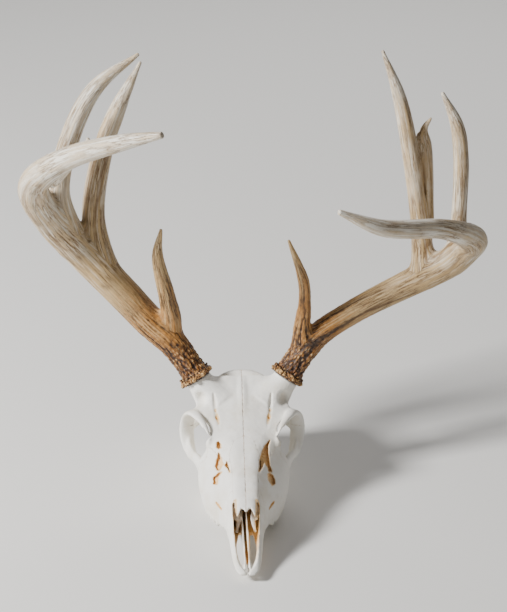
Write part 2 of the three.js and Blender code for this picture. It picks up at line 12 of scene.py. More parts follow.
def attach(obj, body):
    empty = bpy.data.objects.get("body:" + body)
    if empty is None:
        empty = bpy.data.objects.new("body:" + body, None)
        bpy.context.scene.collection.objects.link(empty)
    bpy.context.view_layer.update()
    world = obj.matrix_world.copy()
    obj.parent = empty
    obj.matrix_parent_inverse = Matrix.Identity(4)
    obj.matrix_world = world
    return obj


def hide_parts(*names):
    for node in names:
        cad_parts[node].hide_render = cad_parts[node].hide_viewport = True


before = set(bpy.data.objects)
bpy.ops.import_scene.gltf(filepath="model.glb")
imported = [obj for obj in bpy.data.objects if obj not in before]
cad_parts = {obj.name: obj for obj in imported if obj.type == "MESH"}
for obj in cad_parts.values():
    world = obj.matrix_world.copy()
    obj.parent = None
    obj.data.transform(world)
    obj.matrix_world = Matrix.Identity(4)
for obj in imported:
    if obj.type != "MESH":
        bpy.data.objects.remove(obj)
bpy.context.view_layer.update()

# ---------------------------------------------------------------- braincase, base and occiput
# The hind part of the cranium: a thin-walled bony egg that held the brain, with the bar of the
# skull base below it and the plate at the back that carries the joint with the neck.
# The bones are fused along their sutures, so all of the cranium is formed as one solid first.
# Millimetres: x to the animal's left, y backwards from its front, z up from the tooth level. A grid
# of distances with this spacing, first point and shape holds the left half of it.
VOXEL = 0.8
CORNER = np.array([0, -6.4, -4.0])
SHAPE = (92, 372, 172)


def spline(points, per, closed=False):
    """Points along smooth lines through (..., station, coordinate). Each span is a cubic whose end
    slopes come from the stations on either side, weighted by the square root of their spacing."""
    points = np.asarray(points, float)
    if closed:
        ends = points[..., -1:, :], points[..., :2, :]
    else:
        first, last = points[..., :1, :], points[..., -1:, :]
        ends = 2 * first - points[..., 1:2, :], 2 * last - points[..., -2:-1, :]
    line = np.concatenate([ends[0], points, ends[1]], -2)
    step = np.linalg.norm(np.diff(line[..., :3], axis=-2), axis=-1, keepdims=True)
    step = np.maximum(step, 1e-6) ** 0.5
    spans = line.shape[-2] - 3
    a, b, c, d = (line[..., k : k + spans, :] for k in range(4))
    s, t, u = (step[..., k : k + spans, :] for k in range(3))
    leave = t * ((b - a) / s - (c - a) / (s + t) + (c - b) / t)
    reach = t * ((c - b) / t - (d - b) / (t + u) + (d - c) / u)
    f = (np.arange(per) / per)[:, None]
    b, c, leave, reach = (v[..., None, :] for v in (b, c, leave, reach))
    line = b * (2 * f**3 - 3 * f**2 + 1) + c * (3 * f**2 - 2 * f**3)
    line = line + leave * (f**3 - 2 * f**2 + f) + reach * (f**3 - f**2)
    line = line.reshape(*points.shape[:-2], -1, points.shape[-1])
    return line if closed else np.concatenate([line, points[..., -1:, :]], -2)


def skin(rings, hoop=False):
    """A closed skin over rings (ring, point, xyz): four-sided faces between neighbours and, unless
    the rings run round in a hoop, a fan of triangles over each end."""
    count, around = rings.shape[:2]
    index = np.arange(count * around).reshape(count, around)
    here, ahead = (index, np.roll(index, -1, 0)) if hoop else (index[:-1], index[1:])
    corners = here, np.roll(here, -1, 1), np.roll(ahead, -1, 1), ahead
    quads = np.stack(corners, -1).reshape(-1, 4)
    points = rings.reshape(-1, 3)
    if hoop:
        return points, quads, np.zeros((0, 3), int)
    points = np.concatenate([points, rings[[0, -1]].mean(1)])
    fans = [
        np.stack([np.full(around, len(points) - 2), np.roll(index[0], -1), index[0]], -1),
        np.stack([np.full(around, len(points) - 1), index[-1], np.roll(index[-1], -1)], -1),
    ]
    return points, quads, np.concatenate(fans)


def loft(table, outline, per=5, around=6):
    """A skin over cross sections along y. outline turns a row into half an outline of (x, z) from
    the top to the floor; it is mirrored, and smooth lines run through the points both ways."""
    sections = []
    for y, *sizes in table:
        half = [(x, y, z) for x, z in outline(*sizes)]
        sections.append(half + [(-x, y, z) for x, y, z in half[-2:0:-1]])
    lengthwise = spline(np.swapaxes(np.array(sections, float), 0, 1), per)
    return skin(spline(np.swapaxes(lengthwise, 0, 1), around, closed=True))


def unit(vectors):
    """Each vector over its own length."""
    return vectors / np.linalg.norm(vectors, axis=-1, keepdims=True)


def tube(stations, upward=(0, 0, 1), per=6, around=16):
    """A skin of oval rings along a smooth line. A station is x, y, z, half width and half height,
    the height measured towards upward; without it the tube is round."""
    line = spline(stations, per)
    along = unit(np.gradient(line[:, :3], axis=0))
    across = unit(np.cross(upward, along))
    up = np.cross(along, across)
    turn = np.linspace(0, 2 * np.pi, around, endpoint=False)[:, None]
    wide = (across * line[:, 3:4])[:, None] * np.cos(turn)
    high = (up * line[:, -1:])[:, None] * np.sin(turn)
    return skin(line[:, None, :3] + wide + high)


def ovoid(centre, halves, around=20):
    """A skin over a ball with those half sizes, of rings from near one pole to near the other."""
    tilt = np.linspace(-1.45, 1.45, 14)[:, None]
    turn = np.linspace(0, 2 * np.pi, around, endpoint=False)
    waist = np.cos(tilt)
    ball = np.broadcast_arrays(waist * np.cos(turn), waist * np.sin(turn), np.sin(tilt))
    return skin(np.array(centre) + np.stack(ball, -1) * halves)


def depth(shape_skin, corner=CORNER, shape=SHAPE, voxel=VOXEL, band=5):
    """Signed distance to a skin in mm at each point of a grid, below zero inside. It is true up to
    the band's width from the skin, and level beyond."""
    points, quads, fans = shape_skin
    grid = vdb.FloatGrid.createLevelSetFromPolygons(
        points.astype(np.float32),
        triangles=fans.astype(np.uint32),
        quads=quads.astype(np.uint32),
        transform=vdb.createLinearTransform(voxelSize=voxel),
        halfWidth=np.ceil(band / voxel) + 1,
    )
    values = np.empty(shape, np.float32)
    grid.copyToArray(values, ijk=tuple(int(c) for c in np.round(np.array(corner) / voxel)))
    return values


def melt(a, b, width):
    """The union of two distance grids with a fillet of about that width."""
    blend = np.maximum(width - np.abs(a - b), 0) / width
    return np.minimum(a, b) - blend**2 * width / 4


def carve(solid, tool, width):
    """The solid less the tool, with its new edges rounded by about that width."""
    return -melt(-solid, tool, width)


core = loft(
    [
        [148, 76, 36, 24, 60],
        [165, 84, 38, 19, 64],
        [181, 92.5, 38, 18, 66],
        [196, 100, 38, 24.5, 73],
        [210, 107, 37, 30, 76],
        [222, 112.6, 36, 33, 77],
        [235, 112.6, 35, 34, 74],
        [248, 107, 35, 33.5, 69],
        [259, 95.5, 36, 33, 62],
        [267, 84, 40, 29, 58],
        [273, 73, 46, 20, 57],
    ],
    lambda top, bottom, half, widest: [
        (0, top),
        (0.72 * half, top - 0.22 * (top - widest)),
        (half, widest),
        (0.75 * half, bottom + 0.25 * (widest - bottom)),
        (0, bottom),
    ],
)
occiput = loft(
    [[256, 92, 34, 33, 60], [266, 84, 32, 34, 58], [271, 80, 32, 30, 56], [276, 60, 34, 17, 48]],
    lambda top, bottom, half, widest: [
        (0, top),
        (0.7 * half, widest + 0.7 * (top - widest)),
        (half, widest),
        (0.7 * half, bottom),
        (0, bottom),
    ],
)
base_bar = tube([[0, 172, 38, 9, 7], [0, 215, 38, 9, 6], [0, 245, 37, 10, 5], [0, 270, 36, 12, 7]])
wing = tube([[12, 152, 22, 3.2, 9], [12, 170, 27, 2.4, 12], [11.5, 190, 28, 1.8, 12], [11, 203, 24, 1.4, 9]])
ear_capsule = ovoid([22, 236, 35], [9, 13, 11])
ear_tube = tube([[26, 240, 46, 5.4], [40, 245, 50, 5.4]])
jugular = tube(
    [[27, 262, 46, 5, 6], [28.5, 261, 26, 3.6, 6.4], [28, 259, 10, 3, 5], [27.5, 258, -2, 2.4, 4]],
    upward=(0, 1, 0),
)
condyle = ovoid([13, 273, 33], [8.5, 11, 12])

cranium = melt(depth(core), depth(occiput), 3)
for part in (base_bar, wing, ear_capsule, ear_tube, jugular, condyle):
    cranium = melt(cranium, depth(part), 2.5)

# ---------------------------------------------------------------- snout and face
# The long muzzle: two upper jaw bones that carry the cheek teeth, the nasal bones on top and the
# slender premaxillae in front, round an air passage that is open above behind the snout's tip.
face = depth(
    loft(
        [
            [1, 11.6, 5, 0.6, 7.2, 10, 5.6, 8.6, 8.2],
            [7, 12.8, 8, 0.6, 10.8, 10.2, 8.8, 8.3, 8],
            [18, 15, 10, 0.6, 13.2, 11, 11.3, 8.6, 8.4],
            [32, 21.5, 11.8, 0.8, 15.2, 13.5, 13.2, 9.4, 9.2],
            [48, 31.5, 12.4, 1, 16.6, 18, 14.6, 10.6, 10.2],
            [64, 42, 12.6, 1.5, 18.6, 24, 16.2, 11.6, 11],
            [78, 53.5, 12, 2, 21.8, 28, 18.6, 12, 12],
            [92, 60, 12, 2.2, 28, 30, 25.6, 12, 13],
            [106, 65.2, 12.5, 2.4, 36, 29, 33.5, 12, 13.5],
            [120, 70, 14, 2.6, 41.5, 32, 38, 12, 14],
            [138, 76.6, 18, 3, 46, 42, 38, 14, 15],
            [149, 80.2, 22, 3, 44.5, 53, 34, 20, 17],
            [158, 80, 20, 5, 36, 60, 26, 30, 24],
        ],
        lambda top, roof, drop, cheek, cheek_z, gum, gum_z, palate: [
            (0, top),
            (roof, top - drop),
            (cheek, cheek_z),
            (gum, gum_z),
            (0.6 * gum, palate),
            (0, palate),
        ],
    )
)
air = depth(
    loft(
        [
            [3, 30, 11.2, 3.5],
            [14, 35, 11.5, 9],
            [32, 44, 12.6, 11],
            [62, 58, 15.4, 12.9],
            [72, 60, 16, 13.8],
            [76, 52, 17, 14.6],
            [82, 51.6, 17, 15.8],
            [100, 59, 18.5, 18],
            [140, 72, 22, 21],
            [152, 70, 30, 14],
        ],
        lambda top, floor, half: [
            (0, top),
            (0.62 * half, top - 1.5),
            (half, (top + floor) / 2),
            (0.8 * half, floor + 1),
            (0, floor),
        ],
    )
)
# The nasal bones reach forward as a thin arched plate, whose front edge runs out in prongs.
nasal_plate = loft(
    [[50, 41.4, 9.6], [58, 45.1, 10.6], [66, 48.7, 11.4], [78, 53.8, 12], [92, 60, 12]],
    lambda top, half: [
        (0, top),
        (0.6 * half, top - 0.9),
        (half, top - 4),
        (0.6 * half, top - 3),
        (0, top - 2.2),
    ],
)
# Ragged ends of the scroll bones hang inside the passage.
scrolls = [
    tube(
        [[8.8, 63, 20.5, 1.5, 1.1], [7.8, 66, 26, 1.3, 2], [7, 70, 32, 1, 2.6], [10.5, 80, 40, 1.2, 4]],
        upward=(1, 0, 0),
    ),
    tube([[9.8, 68, 31, 1.9, 2], [10.2, 74, 35, 1.6, 3], [13.5, 86, 40, 1.6, 4]], upward=(1, 0, 0)),
    tube([[9.2, 62.4, 20.4, 1.7], [8.6, 64.5, 21.4, 1.2]]),
]
palate_slot = tube([[4.6, 17, 10, 1.6, 8], [6, 30, 11, 3.2, 9], [6.6, 50, 12, 3.3, 9], [5.6, 70, 13, 1.6, 8]])
spinal_canal = tube([[0, 258, 44, 9], [0, 296, 40, 9]])

cranium = melt(cranium, np.maximum(face, -air), 2.5)
across, ahead = (CORNER[k] + VOXEL * np.arange(SHAPE[k]) for k in range(2))
# The plate's front edge: how far back it starts, at each distance from the midline.
front_edge = [0, 1.4, 3, 4.8, 6.6, 8.4, 9.4, 11, 12.5], [60, 60.4, 63.8, 64, 60.5, 56, 57, 65, 72]
prongs = 0.6 * (np.interp(across, *front_edge)[:, None] - ahead[None, :])
nasal_plate = np.maximum(depth(nasal_plate), prongs[:, :, None].astype(np.float32))
cranium = melt(cranium, nasal_plate, 1.5)
for part in scrolls:
    cranium = melt(cranium, depth(part), 1)

# ---------------------------------------------------------------- brow, orbits and cheek arches
# The frontal bones roof the brain and carry the antlers on two short stalks. A bony rim rings
# each eye, and the cheek arch runs from the face below the eye back to the ear.
brow = loft(
    [
        [140, 75, 16, 72, 26, 64, 60],
        [150, 80.6, 20, 77.5, 37, 70, 64],
        [160, 84.8, 25, 81.5, 44, 76, 70],
        [172, 90, 28, 87, 50, 83, 76],
        [187, 97.4, 29, 94.5, 52.5, 87, 80],
        [199, 104, 28, 101.5, 47.5, 91, 82],
        [208, 109.6, 28, 108, 46, 96, 84],
        [216, 113.6, 29, 113, 45, 100, 86],
        [222, 115, 26, 114, 38, 102, 88],
        [238, 110, 16, 106, 24, 97, 90],
    ],
    lambda top, shoulder, shoulder_z, half, edge_z, under: [
        (0, top),
        (shoulder, shoulder_z),
        (half, edge_z),
        (0.86 * half, edge_z - 6),
        (0, under),
    ],
)
EYE = np.array([49.5, 176, 67])
EYE_HALF_LENGTH, EYE_HALF_HEIGHT = 26, 23.5
FACING = unit(np.array([0.9, -0.42, 0.08]))
LEVEL = unit(np.cross([0, 0, 1], FACING))
# The hollow of the orbit: distance out along its axis, shift forward, half length, half height.
hollow_rings = [[16, 1.5, 26, 22], [2, 1.5, 25.3, 20.3], [-12, 1.5, 23, 17.5], [-24, 0, 13, 11]]
eye_hollow = tube(
    [[*(EYE + out * FACING - shift * LEVEL), *halves] for out, shift, *halves in hollow_rings],
    around=32,
)


def orbit_rim(around=14, thick=3.2, deep=5):
    """Rings carried round an ellipse that looks out and a little forwards. With c the cosine of
    the angle from straight back, the rim is deepest behind the eye (c = 1), and in front of it
    (c = -1) thin, further forward and set in."""
    rise = np.cross(FACING, LEVEL)
    turn = np.linspace(0, 2 * np.pi, 72, endpoint=False)[:, None]
    back, front = np.maximum(0, np.cos(turn)), np.maximum(0, -np.cos(turn))
    spoke = (EYE_HALF_LENGTH + 2.6 * front) * np.cos(turn) * LEVEL
    spoke = spoke + EYE_HALF_HEIGHT * np.sin(turn) * rise
    centre = EYE + spoke + (-3.4 * back - 2.6 * front) * FACING
    section = np.linspace(0, 2 * np.pi, around, endpoint=False)[:, None]
    rings = centre[:, None] + ((thick - 1.2 * front) * unit(spoke))[:, None] * np.cos(section)
    inwards = (deep + 3.4 * back - 3.2 * front) * FACING
    return skin(rings + inwards[:, None] * np.sin(section), hoop=True)


cheek_arch = tube(
    [
        [37, 130, 35, 4, 6],
        [41, 144, 42, 4, 9],
        [46, 158, 47, 4, 7],
        [52, 174, 47, 3.4, 5],
        [55.5, 192, 50, 2.8, 4.6],
        [55, 209, 54, 2.4, 4],
        [49, 224, 56, 3.4, 4],
        [36, 237, 57, 6, 5],
    ]
)
ANTLER_AXIS = unit(np.array([0.55, 0.31, 0.78]))
BURR = np.array([47, 218, 114.5])
stalk = tube(
    [
        [25, 205, 88, 20, 17],
        [34, 211, 98, 17.5, 16],
        [*(BURR - 9 * ANTLER_AXIS), 14.1, 14.1],
        [*(BURR - 3.3 * ANTLER_AXIS), 13.5, 13.5],
    ],
    upward=(0, 1, 0),
    around=28,
)
# A grainy crest runs down the middle of the brow; behind it the roof dips, then swells again.
crest = tube(
    [[0, 218, 111.6, 3.4, 2.6], [0, 208, 107.6, 4.2, 2.8], [0, 195, 100.6, 3.8, 1.8], [0, 180, 92, 2, 0.7]]
)
dip = tube([[-8, 226, 118, 6.5, 9.4], [14, 226, 117.5, 6.5, 9.4], [27, 226, 113, 6, 8], [34, 228, 108, 4, 5]])
temple = ovoid([43.4, 197, 99], [5.6, 7.4, 6])
cranium = melt(cranium, depth(brow), 4)
cranium = melt(cranium, depth(stalk), 5)
cranium = carve(cranium, depth(dip), 3)
cranium = carve(cranium, depth(temple), 4.8)
cranium = melt(cranium, depth(crest), 3)
cranium = carve(cranium, depth(eye_hollow), 2)
cranium = melt(cranium, depth(orbit_rim()), 3)
cranium = melt(cranium, depth(cheek_arch), 2.5)

# ---------------------------------------------------------------- cheek teeth
# Six crowns a side stand in a bony ridge of the upper jaw. Bone and enamel: the first crown is
# short, the others end level, and the skull rests on them.
ROW_FRONT, ROW_BACK, CROWNS = 104, 180, 6
FIRST_CROWN_FLOOR = 3.5
row = np.linspace(ROW_FRONT, ROW_BACK, CROWNS + 1)


def row_half(y):
    """How far the tooth row lies from the midline: it swings out by a quarter sine, then runs on."""
    share = np.minimum(1, 1.5 * (y - ROW_FRONT) / (ROW_BACK - ROW_FRONT))
    return 19 + 11.5 * np.sin(share * np.pi / 2)


ridge = [[row_half(np.clip(y, ROW_FRONT, ROW_BACK)), y, 19, 7.4, 9] for y in np.arange(100, 185, 11.0)]
cranium = melt(cranium, depth(tube(ridge)), 3)


def crown(k):
    """Two rounded lobes side by side along the row. All but the first stand on the level z = 0."""
    middle = (row[k] + row[k + 1]) / 2
    half = 4.8 if k < 3 else 6.4
    lobes = []
    for shift in (-3.1, 3.1) if k > 2 else (-2.2, 2.4):
        x = row_half(middle + shift)
        y = middle + shift
        low = FIRST_CROWN_FLOOR if k == 0 else 0
        stations = [[x, y, low, half, 3.3], [x, y, 6, half, 3.6], [x, y, 16, half - 1, 3.2]]
        lobes.append(tube(stations, upward=(0, 1, 0)))
    return lobes


def cusp(y):
    """A small knuckle of bone where a root bulges the outer edge of the jaw."""
    out = np.interp(y, [78, 92, 106, 120, 138], [19.5, 26.4, 33.6, 38, 38])
    return ovoid([out, y, 13.5], [2.6, 2.3, 4.2], 12)


for y in (93, 99.5, 104, 110, 115.5, 121, 128):
    cranium = melt(cranium, depth(cusp(y)), 1.5)
teeth = np.minimum.reduce([depth(lobe) for k in range(CROWNS) for lobe in crown(k)])
cranium = melt(cranium, teeth, 0.8)

# ---------------------------------------------------------------- openings of the cranium
# What passes through the bone: the spinal cord behind, the long slots of the palate, the gaps
# before the eyes, a notch at the tip, and the holes and grooves of blood vessels and nerves.


def hashed(cell, seed):
    """A whole number from 0 to 65535 for each lattice cell: its coordinates, each times a large
    prime, are mixed by exclusive or and by shifts."""
    code = cell[..., 0] * 73856093 ^ cell[..., 1] * 19349663 ^ cell[..., 2] * 83492791 ^ seed * 40503
    code = ((code ^ (code >> 13)) * 1274126177) & 0xFFFFFFFF
    return (code ^ (code >> 15)) & 0xFFFF


def noise(points, size, seed):
    """Smooth random values from -1 to 1: random numbers on a lattice of that spacing in mm, eased
    between with 3f^2 - 2f^3."""
    place = points / size
    cell = np.floor(place).astype(np.int64)
    f = place - cell
    f = f * f * (3 - 2 * f)
    total = 0
    for corner in itertools.product((0, 1), repeat=3):
        weight = np.prod(np.where(corner, f, 1 - f), axis=-1)
        total = total + weight * (hashed(cell + corner, seed + 7) / 32767.5 - 1)
    return total


heights = (CORNER[2] + VOXEL * np.arange(SHAPE[2])).astype(np.float32)
brow_groove = [
    tube([[29.8, 197, 105, 0.6], [28.6, 190, 97.2, 1.7], [28.4, 183, 93.2, 1.4], [27, 175, 90, 1.9]]),
    tube([[27, 175, 89.8, 1.9], [25.4, 168, 86.4, 1.3], [24.4, 160, 83.2, 0.6]]),
]
vessel_hole = [
    tube([[26.9, 177, 90, 1.4], [26.2, 173, 82, 1.2]], upward=(0, 1, 0)),
    tube([[28.6, 186.4, 97, 0.8], [28, 183, 90, 0.7]], upward=(0, 1, 0)),
]
groove_stain = tube([[28.2, 183, 93.4, 0.7], [26.6, 175, 89.6, 1.6], [25.2, 167, 86, 1]])
nerve_hole = tube(
    [[28.8, 97.5, 34, 0.6, 1.6], [26.2, 91, 33.6, 1, 2.2], [23.8, 85, 33, 0.5, 1.6]],
    upward=(1, 0, 0.3),
)
tip_notch = tube(
    [[0, -3, 15.7, 2.1, 2.5], [0, 5, 12, 2.1, 2.5], [0, 16, 6.9, 1.5, 2]],
    upward=(0, 0.42, 0.91),
)
tip_slot = tube([[0, 1.2, 2, 0.7, 3], [0, 1.2, 16, 0.7, 3]], upward=(0, 1, 0))
cuts = np.minimum.reduce([depth(part) for part in (palate_slot, spinal_canal, nerve_hole, *vessel_hole)])
for part in (*brow_groove, tip_notch, tip_slot):
    cranium = carve(cranium, depth(part), 1.6)
cranium = np.maximum(cranium, -cuts)
# The passage is stained below its roof, whose underside is the plane z = 15.2 + 0.465 y. The
# cosine of that slope turns a height above the plane into a distance from it.
ROOF_START, ROOF_SLOPE, ROOF_COSINE = 15.2, 0.465, 0.907
above_roof = ROOF_COSINE * (heights - ROOF_SLOPE * ahead[:, None] - ROOF_START)
hollow = np.minimum.reduce([np.maximum(air, above_roof[None]), cuts, depth(groove_stain)])


def mirrored(values):
    """The grid of the +x half with its mirror image in front of it."""
    return np.concatenate([values[:0:-1], values])


def outline_depth(outline, a, b):
    """Signed distance from points (a, b) to a polygon: the nearest edge, with the sign found by
    counting the edges that a ray towards +a crosses."""
    nearest = np.full(np.broadcast(a, b).shape, 1e9)
    inside = np.zeros(nearest.shape, bool)
    for (p, q), (r, s) in zip(outline, outline[1:] + outline[:1]):
        part = np.clip(((a - p) * (r - p) + (b - q) * (s - q)) / ((r - p) ** 2 + (s - q) ** 2), 0, 1)
        nearest = np.minimum(nearest, np.hypot(a - p - part * (r - p), b - q - part * (s - q)))
        if q != s:
            inside ^= ((q > b) != (s > b)) & (a < p + (b - q) / (s - q) * (r - p))
    return np.where(inside, -nearest, nearest)


cranium, hollow = mirrored(cranium), mirrored(hollow)
outer = mirrored(np.minimum.reduce([face, depth(core), depth(brow)]))
LOW = CORNER - [(SHAPE[0] - 1) * VOXEL, 0, 0]
axis_x, axis_y, axis_z = (LOW[k] + VOXEL * np.arange(cranium.shape[k]) for k in range(3))

# Before each eye the bones leave ragged gaps, unlike on the two sides. Their outlines are given
# as x and the slant 0.423 y + 0.906 z, and they go in slantwise to a floor a few millimetres down.
SLANT_Y, SLANT_Z = 0.423, 0.906
GAP_FLOOR = 7, -3  # how many grid steps the floor lies behind and below the outer surface
eye_gaps = [
    [(-27.9, 130), (-25.5, 131.2), (-23.4, 128.5), (-23.2, 125), (-25.6, 123.4), (-27.6, 125.5)],
    [
        *[(-25.6, 120.6), (-23.4, 115.4), (-21.3, 109.2), (-25.1, 103.2), (-27.4, 103), (-29.6, 106.7)],
        (-27.6, 113.6),
    ],
    [(-17.3, 112.5), (-15.9, 107), (-14.9, 102), (-17.3, 105.6), (-20, 108.2), (-18.6, 110.1)],
    [(-22.9, 101.8), (-26.6, 96.6), (-28, 89.2), (-31.3, 89.5), (-31.2, 95.7), (-27.1, 99.9)],
    [
        *[(26.8, 131.8), (21.9, 127.7), (18.1, 121.2), (15.6, 114.3), (14.3, 102.6), (17.6, 105)],
        *[(20.4, 111.6), (23.3, 105.5), (24.4, 101), (28.1, 101), (26.3, 105.5), (25.2, 112.5)],
        *[(24.4, 119.4), (25.1, 126.4)],
    ],
    [(23.4, 99.8), (27.6, 98.6), (30.3, 94.1), (30.3, 88.9), (27.7, 88), (24.2, 93.3)],
]
# The thin front wall of each orbit ends short, in a pointed corner.
orbit_view = [(50.3, 141.5), (47.1, 144.5), (40.1, 144.4), (36.6, 139.5), (33.6, 135.2), (38.1, 130.6)]
orbit_view += [(43.2, 128.2), (40.4, 124.4), (42, 118.9), (46.9, 118.9), (50, 128.1)]


def slanted(window):
    """The grid points in a window, and the slant of each."""
    axes = [axis[span] for axis, span in zip((axis_x, axis_y, axis_z), window)]
    places = np.stack(np.meshgrid(*axes, indexing="ij"), -1)
    return places, SLANT_Y * places[..., 1] + SLANT_Z * places[..., 2]


window = slice(None), slice(125, 215), slice(50, 135)
places, slant = slanted(window)
gap = np.minimum.reduce([outline_depth(outline, places[..., 0], slant) for outline in eye_gaps])
gap = gap + 0.45 * noise(places, 2.6, 9)
gap = np.maximum(gap, -np.roll(outer, GAP_FLOOR, (1, 2))[window]).astype(np.float32)
cranium[window] = carve(cranium[window], gap, 0.8)
hollow[window] = np.minimum(hollow[window], gap)
window = slice(None), slice(170, 226), slice(45, 125)
places, slant = slanted(window)
wall = outline_depth(orbit_view, np.abs(places[..., 0]), slant) + 0.6 * noise(places, 3, 6)
cranium[window] = carve(cranium[window], wall.astype(np.float32), 1.2)

# The ploughshare bone: a trough of two thin blades along the middle of the passage, a little off
# centre at its hind end.
for side in (-1, 1):
    blade = [[2.6, 0, 8, 11.2, 0.9, 1.4], [2.1, 0, 15, 12.6, 0.9, 2.4], [2, -0.2, 24, 14.5, 0.8, 3]]
    blade += [[2.3, -0.8, 45, 18, 0.9, 5], [2.3, -1.6, 75, 24, 0.9, 9.4], [2.3, -1.8, 100, 28, 0.9, 13]]
    blade = [[side * half + off_centre, *rest] for half, off_centre, *rest in blade]
    cranium = melt(cranium, depth(tube(blade, per=10), LOW, cranium.shape), 1)
cranium = np.maximum(cranium, -heights)

# ---------------------------------------------------------------- the bones, parted at their sutures
# Twelve bones, each its own piece, held by the sutures where their edges interlock: hairline
# seams that wander by a millimetre. Two neighbours share the cut, with a thin gap between them.
ORIGIN = np.array([9.5, 142.5, 0])
GAP = 0.05
side_view = axis_y[:, None], axis_z[None, :]
coarse = np.stack(np.meshgrid(axis_x[::2], axis_y[::2], axis_z[::2], indexing="ij"), -1)
wander = noise(coarse, 5.2, 1) * 0.9 + noise(coarse, 2.6, 2) * 0.5
wander = wander.repeat(2, 0).repeat(2, 1).repeat(2, 2)
wander = wander[: cranium.shape[0], : cranium.shape[1], : cranium.shape[2]].astype(np.float32)
outlines = {
    "premaxilla": [(-8, -8), (56, -8), (54, 12), (60, 20), (73, 36), (86, 52), (80, 66), (-8, 66)],
    "frontal": [
        *[(122, 66), (136, 66), (150, 70), (176, 70), (204, 66), (216, 84), (227, 94), (240, 130)],
        (122, 130),
    ],
    "cheek": [(143, 24), (160, 32), (222, 38), (222, 66), (204, 65.7), (176, 69.7), (150, 69.7), (143, 60)],
    "maxilla": [(40, -8), (156, -8), (156, 30), (150, 90), (40, 90)],
    "tooth_bone": [(150, -8), (190, -8), (190, 31), (150, 31)],
    "occipital": [(249, -8), (300, -8), (300, 90), (268, 90), (262, 60), (249, 46)],
}
flat = {name: outline_depth(outline, *side_view).astype(np.float32) for name, outline in outlines.items()}
nasal_plan = [(-0.2, 50), (11.8, 50), (12.4, 80), (13, 110), (15, 130), (10, 144), (-0.2, 150)]
nasal_side = [(48, 36), (80, 45), (120, 62), (150, 74.5), (152, 100), (48, 100)]


def side_region(name, side, from_x=0.0):
    """Distance to an outline in side view carried outwards from from_x on one side of the skull."""
    inner = (from_x - side * axis_x)[:, None, None]
    return np.maximum(flat[name][None] + wander, inner + (1 if from_x > 0 else 0.15) * wander)


def nasal_region(side):
    """The nasal bone: its outline in plan, above its underside in side view."""
    plan = outline_depth([(b, a) for a, b in nasal_plan], axis_y[None, :], side * axis_x[:, None])
    below = outline_depth(nasal_side, *side_view)
    return np.maximum(plan[:, :, None] + 0.3 * wander, below[None])


def surface_of(values, low, voxel):
    """Points and four-sided faces where a distance grid is zero."""
    inside = values < 0
    spans = []
    for axis in range(3):
        hit = np.flatnonzero(inside.any(tuple(k for k in range(3) if k != axis)))
        spans.append(slice(max(hit[0] - 3, 0), hit[-1] + 4))
    corner = [int(round(c / voxel)) + span.start for c, span in zip(low, spans)]
    grid = vdb.FloatGrid(5.0)
    grid.copyFromArray(np.ascontiguousarray(values[tuple(spans)]), ijk=tuple(corner))
    grid.transform = vdb.createLinearTransform(voxelSize=voxel)
    points, _, quads = grid.convertToPolygons(isovalue=0.0, adaptivity=0.0)
    return points.astype(float), quads.astype(int)


def outwards(points, quads):
    """The faces, all turned over if the volume they enclose comes out below zero."""
    a, b, c = (points[quads[:, k]] for k in range(3))
    d = points[quads[:, 3]]
    volume = (a * np.cross(b, c)).sum() + (a * np.cross(c, d)).sum()
    return quads if volume > 0 else quads[:, ::-1]


def make_piece(name, points, quads, marks, material, replaced):
    """A finished piece in metres in the row frame, with its marks kept as point attributes."""
    mesh = bpy.data.meshes.new(name)
    mesh.vertices.add(len(points))
    mesh.vertices.foreach_set("co", ((points - ORIGIN) * 0.001).astype(np.float32).ravel())
    mesh.loops.add(quads.size)
    mesh.loops.foreach_set("vertex_index", quads.astype(np.int32).ravel())
    mesh.polygons.add(len(quads))
    mesh.polygons.foreach_set("loop_start", np.arange(0, quads.size, quads.shape[1], dtype=np.int32))
    mesh.polygons.foreach_set("use_smooth", np.ones(len(quads), bool))
    for mark, values in marks.items():
        kind, field = ("FLOAT_VECTOR", "vector") if np.ndim(values) == 2 else ("FLOAT", "value")
        layer = mesh.attributes.new(mark, kind, "POINT")
        layer.data.foreach_set(field, np.asarray(values, np.float32).ravel())
    mesh.update()
    mesh.validate()
    mesh.set_sharp_from_angle(angle=np.radians(55))
    piece = bpy.data.objects.new(name, mesh)
    bpy.context.scene.collection.objects.link(piece)
    mesh.materials.append(material)
    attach(piece, "root")
    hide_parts(*replaced)
    return piece


def sample(values, points, low=LOW, voxel=VOXEL):
    """Grid values at points, mixed between the eight grid points around each."""
    place = (points - low) / voxel
    cell = np.clip(np.floor(place).astype(int), 0, np.array(values.shape) - 2)
    f = place - cell
    total = 0
    for corner in itertools.product((0, 1), repeat=3):
        weight = np.prod(np.where(corner, f, 1 - f), axis=-1)
        total = total + weight * values[tuple((cell + corner).T)]
    return total


def slope_of(values, points, *grid):
    """The gradient of a distance grid at points, from differences over 0.8 mm."""
    half = 0.4
    ends = []
    for step in half * np.eye(3):
        ends.append(sample(values, points + step, *grid) - sample(values, points - step, *grid))
    return np.stack(ends, -1) / (2 * half)


def crisp(points, solid, limits, low=LOW, voxel=VOXEL):
    """Points near both the bone's surface and its cut faces, moved onto the edge where the two
    meet: three times, each distance is driven to zero along its own slope."""
    off = np.maximum(*(np.abs(sample(values, points, low, voxel)) for values in (solid, limits)))
    near = off < 0.6 * voxel
    moved = points[near]
    for values in (limits, solid) * 3:
        slope = slope_of(values, moved, low, voxel)
        pull = sample(values, moved, low, voxel) / np.maximum((slope**2).sum(-1), 0.2)
        moved = moved - slope * pull[:, None]
    points = points.copy()
    points[near] += np.clip(moved - points[near], -voxel, voxel)
    return points


